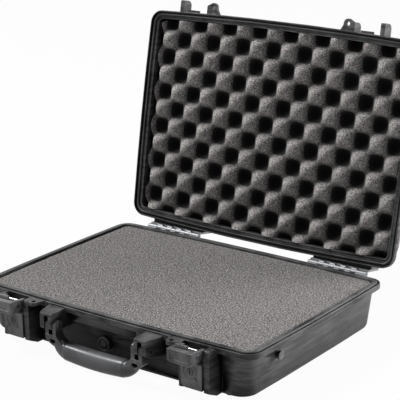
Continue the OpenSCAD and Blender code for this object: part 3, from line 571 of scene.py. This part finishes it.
class HARDCASE_OT_base_foam(bpy.types.Operator):
    """Foam block of the base with its uneven top, and the pad under it"""

    bl_idname = "hardcase.base_foam"
    bl_label = "Base foam"

    # How often the block's top rises and dips, broadly and finely, and the share of each
    broad, broad_share = 22, 0.6
    fine, fine_share = 60, 0.4

    def execute(self, context):
        low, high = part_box("foam_block")
        bm = merged_copy("foam_block")
        for axis in (0, 1):
            count = int((high[axis] - low[axis]) / sizes().block_step)
            normal = Vector((1 - axis, axis, 0))
            for i in range(1, count):
                where = normal * (low[axis] + (high[axis] - low[axis]) * i / count)
                bmesh.ops.bisect_plane(bm, geom=whole(bm), dist=1e-7, plane_co=where, plane_no=normal)
        for vert in bm.verts:
            if vert.co.z > high.z - 0.01 * MM:
                wave = (noise.noise(vert.co * self.broad) * self.broad_share
                        + noise.noise(vert.co * self.fine) * self.fine_share)
                vert.co.z -= sizes().block_dip * (0.5 + wave)
        for made, node in ((bm, "foam_block"), (merged_copy("foam_pad"), "foam_pad")):
            finish_piece(made, node + "_dressed", node, smooth=40)
        return {"FINISHED"}


class HARDCASE_OT_lid_foam(bpy.types.Operator):
    """Convoluted foam sheet of the lid"""

    bl_idname = "hardcase.lid_foam"
    bl_label = "Lid foam"

    # A peak of the pattern, in the closed lid, and how much wider the peaks are than the valleys
    peak = Vector((17.5 * MM, -70 * MM))
    full = 1.15
    # The sheet's sides lean in with the lid's walls, by this much a metre of height
    lean = Vector((0.15, 0.03))
    # Bow of the outline at its corners, and the rounding of the sheet's corners
    bow = Vector((2.5 * MM, 5.6 * MM))
    corner = 3.2 * MM
    # Where the rounding begins, as shares of the half width and the half depth
    corner_from = Vector((0.97, 0.955))
    # How high the sheet's back edge is rounded, and by how much its back is smaller
    back_edge = 3.6 * MM
    back_in = 4 * MM

    def execute(self, context):
        turn = lid_turn()
        closed = turn.inverted()
        points = [closed @ v.co for v in NODES["lid_foam"].data.vertices]
        # The lowest and highest corners of the frame's own sheet, in the closed lid
        self.low = Vector([min(p[i] for p in points) for i in range(3)])
        self.high = Vector([max(p[i] for p in points) for i in range(3)])
        bm = bmesh.new()
        depth = bm.verts.layers.float.new("depth")
        self.front(bm, depth)
        self.back(bm, depth)
        bmesh.ops.transform(bm, matrix=turn, verts=bm.verts)
        material = foam("Convoluted foam", lift=1.7, contrast=0.11, deep=True)
        finish_piece(bm, "lid_foam_dressed", "lid_foam", material, smooth=60, recalculate=True)
        return {"FINISHED"}

    def front(self, bm, depth):
        """The waved face, as a fine grid."""
        rows = sizes().foam_rows / sizes().foam_pitch
        counts = [max(2, round(2 * (self.high[i] + self.bow[i]) * rows)) for i in (0, 1)]
        bmesh.ops.create_grid(bm, x_segments=counts[0], y_segments=counts[1], size=1.0)
        for vert in bm.verts:
            deep = self.valley(vert.co.x * self.high.x, vert.co.y * self.high.y)
            vert[depth] = deep
            vert.co = self.place(vert.co.x, vert.co.y, self.low.z + sizes().foam_wave * deep)

    def back(self, bm, depth):
        """The sides and the back, drawn out from the face's edge."""
        edge = [e for e in bm.edges if e.is_boundary]
        for level in (self.high.z - self.back_edge, self.high.z):
            made = bmesh.ops.extrude_edge_only(bm, edges=edge)["geom"]
            keep = 1.0 if level < self.high.z else 1.0 - self.back_in / self.high.x
            for vert in (g for g in made if isinstance(g, bmesh.types.BMVert)):
                vert[depth] = 1.0
                rise = level - vert.co.z
                for i in (0, 1):
                    lean = self.lean[i] * rise * self.outer(vert.co[i] / self.high[i])
                    vert.co[i] = (vert.co[i] - math.copysign(lean, vert.co[i])) * keep
                vert.co.z = level
            edge = [g for g in made if isinstance(g, bmesh.types.BMEdge)]
        bmesh.ops.contextual_create(bm, geom=edge)

    def valley(self, x, y):
        """0 on a peak of the sheet and 1 in a valley."""
        turns = math.pi / sizes().foam_pitch
        wave = math.cos(turns * (x - self.peak.x)) * math.cos(turns * (y - self.peak.y))
        return (0.5 - 0.5 * wave) ** self.full

    def outer(self, share):
        """Nearly 0 over the sheet, and rising to 1 at its edge."""
        return abs(share) ** 8

    def place(self, u, v, z):
        """A point of the sheet's face from its place in the unit square."""
        near = 1.0
        for i, own in ((0, u), (1, v)):
            near *= max(0.0, abs(own) - self.corner_from[i]) / (1 - self.corner_from[i])
        rise = z - self.low.z
        point = Vector((u * self.high.x, v * self.high.y, z))
        for i, own, other in ((0, u, v), (1, v, u)):
            inset = self.lean[i] * rise * self.outer(own) + self.bow[i] * other * other * abs(own)
            point[i] -= math.copysign(inset + self.corner * near, own)
        return point


class HARDCASE_OT_seals(bpy.types.Operator):
    """Rubber ring of the lid and the washer under the pressure knob"""

    bl_idname = "hardcase.seals"
    bl_label = "Seals"

    def execute(self, context):
        dress("lid_seal", smooth=60)
        dress("pressure_seal")
        return {"FINISHED"}


class HARDCASE_OT_handle(bpy.types.Operator):
    """Handle frame, moulded grip and pivot pins"""

    bl_idname = "hardcase.handle"
    bl_label = "Handle"

    # Where the straight of the grip ends, the radius that it turns up by to the arms, and how far round
    straight = 53 * MM
    elbow = 20 * MM
    turn = math.radians(64)
    # Half thickness at its ends, on the inner and outer side
    end_y = 8.5 * MM
    end_in = 10 * MM
    end_out = 6 * MM
    # The step where the soft moulding ends, the length that it takes, and the taper of the straight
    step = 0.5 * MM
    step_run = 1.5 * MM
    taper = 0.05
    # Squareness of the grip's section: 2 is an ellipse
    square = 2.6
    # Faces along and round the grip, and slices that the frame's corners are cut into
    along_faces, round_faces = 120, 40
    slices = 10

    def execute(self, context):
        self.frame()
        self.grip()
        for side in SIDES:
            dress("handle_pin_" + side)
        return {"FINISHED"}

    def middle(self):
        """Height of the middle of the grip's ends, where they turn up."""
        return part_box("handle_grip")[0].z + sizes().grip_height / 2 + sizes().grip_bow

    def frame(self):
        """The arms and their bar, with the square lower corners drawn in to the turn of the grip."""
        low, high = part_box("handle_frame")
        centre_z = self.middle() + self.elbow
        wide, deep = high.x - self.straight, centre_z - low.z
        near, under = self.elbow - self.end_in, self.elbow + self.end_out
        bm = merged_copy("handle_frame")
        for side in (-1, 1):
            for turned in (math.pi / 2 * n / self.slices for n in range(self.slices + 1)):
                faces = [f for f in bm.faces if any(side * v.co.x > self.straight - MM
                                                    and v.co.z < centre_z + MM for v in f.verts)]
                edges = {e for f in faces for e in f.edges}
                verts = {v for f in faces for v in f.verts}
                bmesh.ops.bisect_plane(bm, geom=faces + list(edges) + list(verts), dist=0.001 * MM,
                                       plane_co=(side * self.straight, 0, centre_z),
                                       plane_no=(side * math.cos(turned), 0, math.sin(turned)))
        for vert in bm.verts:
            out, down = max(0.0, abs(vert.co.x) - self.straight), centre_z - vert.co.z
            away = math.hypot(out, down)
            if down <= 0 or away <= near:
                continue
            edge = min(wide * away / max(out, 0.001 * MM), deep * away / down)
            far = wide + (under - wide) * (down / away) ** 2
            pull = (near + (away - near) * (far - near) / (edge - near)) / away
            vert.co.z = centre_z - down * pull
            if out > 0:
                vert.co.x = math.copysign(self.straight + out * pull, vert.co.x)
        finish_piece(bm, "handle_frame_dressed", "handle_frame", smooth=38)

    def grip(self):
        """A grid rolled into a tube, straight in the middle and turned up at its ends."""
        low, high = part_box("handle_grip")
        middle_y, middle_z = (low.y + high.y) / 2, self.middle()
        radius_y, radius_z = (high.y - low.y) / 2, sizes().grip_height / 2
        reach = self.elbow * self.turn
        bm = bmesh.new()
        bmesh.ops.create_grid(bm, x_segments=self.along_faces, y_segments=self.round_faces, size=1.0)
        for vert in bm.verts:
            along, a = vert.co.x * (self.straight + reach), math.pi * vert.co.y
            past = max(0.0, abs(along) - self.straight)
            bend, share = past / self.elbow, past / reach
            t = min(1.0, abs(along) / self.straight)
            full = 1 - self.taper * t * t
            sag = sizes().grip_bow * (1 - t * t)
            under = self.step * min(1.0, past / self.step_run)
            end_z = self.end_in if a > 0 else self.end_out
            half_y = (radius_y * full - under) * (1 - share) + self.end_y * share
            half_z = (radius_z * full - under) * (1 - share) + end_z * share
            wide = (abs(math.cos(a)) ** self.square + abs(math.sin(a)) ** self.square) ** (-1 / self.square)
            arc = self.elbow - half_z * wide * math.sin(a)
            x = min(abs(along), self.straight) + arc * math.sin(bend)
            z = middle_z - sag + self.elbow - arc * math.cos(bend)
            vert.co = (math.copysign(x, along), middle_y + half_y * wide * math.cos(a), z)
        bmesh.ops.remove_doubles(bm, verts=bm.verts, dist=0.001 * MM)
        bmesh.ops.holes_fill(bm, edges=[e for e in bm.edges if e.is_boundary], sides=0)
        finish_piece(bm, "handle_grip_dressed", "handle_grip", smooth=50, recalculate=True)


class HARDCASE_OT_latches(bpy.types.Operator):
    """Latch levers, claws, rods, pins and springs"""

    bl_idname = "hardcase.latches"
    bl_label = "Latches"

    def execute(self, context):
        for side in SIDES:
            start = "latch_" + side
            dress(start + "_lever", bevel=sizes().edge_round)
            for part in ("_claw", "_rod", "_claw_pin", "_spring"):
                dress(start + part)
        return {"FINISHED"}


class HARDCASE_OT_locks(bpy.types.Operator):
    """Lock housings and key cylinders"""

    bl_idname = "hardcase.locks"
    bl_label = "Locks"

    def execute(self, context):
        for side in SIDES:
            dress(f"latch_{side}_lock_housing")
            dress(f"latch_{side}_key_cylinder")
        return {"FINISHED"}


class HARDCASE_OT_hinges(bpy.types.Operator):
    """Hinge leaves, pins and screws"""

    bl_idname = "hardcase.hinges"
    bl_label = "Hinges"

    def execute(self, context):
        for side in SIDES:
            for part in ("base_leaf", "lid_leaf", "pin"):
                dress(f"hinge_{side}_{part}")
        dress("hinge_base_screws")
        dress("hinge_lid_screws")
        return {"FINISHED"}


class HARDCASE_OT_fittings(bpy.types.Operator):
    """Pressure knob and strap studs"""

    bl_idname = "hardcase.fittings"
    bl_label = "Knob and studs"

    def execute(self, context):
        dress("pressure_knob")
        for side in SIDES:
            dress("strap_stud_" + side)
        return {"FINISHED"}


class HARDCASE_PT_panel(bpy.types.Panel):
    """Lists the pieces of the case and its settings"""

    bl_label = "Hard Case"
    bl_idname = "HARDCASE_PT_panel"
    bl_space_type = "VIEW_3D"
    bl_region_type = "UI"
    bl_category = "Hard Case"

    def draw(self, context):
        for operator in OPERATORS:
            self.layout.operator(operator.bl_idname)
        for group in (colours(), sizes(), context.scene.hard_case_stage):
            box = self.layout.box()
            for name in group.__annotations__:
                box.prop(group, name)


OPERATORS = (
    HARDCASE_OT_stage,
    HARDCASE_OT_shells,
    HARDCASE_OT_base_foam,
    HARDCASE_OT_lid_foam,
    HARDCASE_OT_seals,
    HARDCASE_OT_handle,
    HARDCASE_OT_latches,
    HARDCASE_OT_locks,
    HARDCASE_OT_hinges,
    HARDCASE_OT_fittings,
)
SETTINGS = {
    "hard_case_colours": HardCaseColours,
    "hard_case_sizes": HardCaseSizes,
    "hard_case_stage": HardCaseStage,
}
CLASSES = (*SETTINGS.values(), *OPERATORS, HARDCASE_PT_panel)


def register():
    for kind in CLASSES:
        bpy.utils.register_class(kind)
    for name, kind in SETTINGS.items():
        setattr(bpy.types.Scene, name, bpy.props.PointerProperty(type=kind))


def unregister():
    for name in SETTINGS:
        delattr(bpy.types.Scene, name)
    for kind in reversed(CLASSES):
        bpy.utils.unregister_class(kind)


def main():
    """Make the stage and every piece in order."""
    register()
    for operator in OPERATORS:
        family, name = operator.bl_idname.split(".")
        getattr(getattr(bpy.ops, family), name)()


if __name__ == "__main__":
    main()
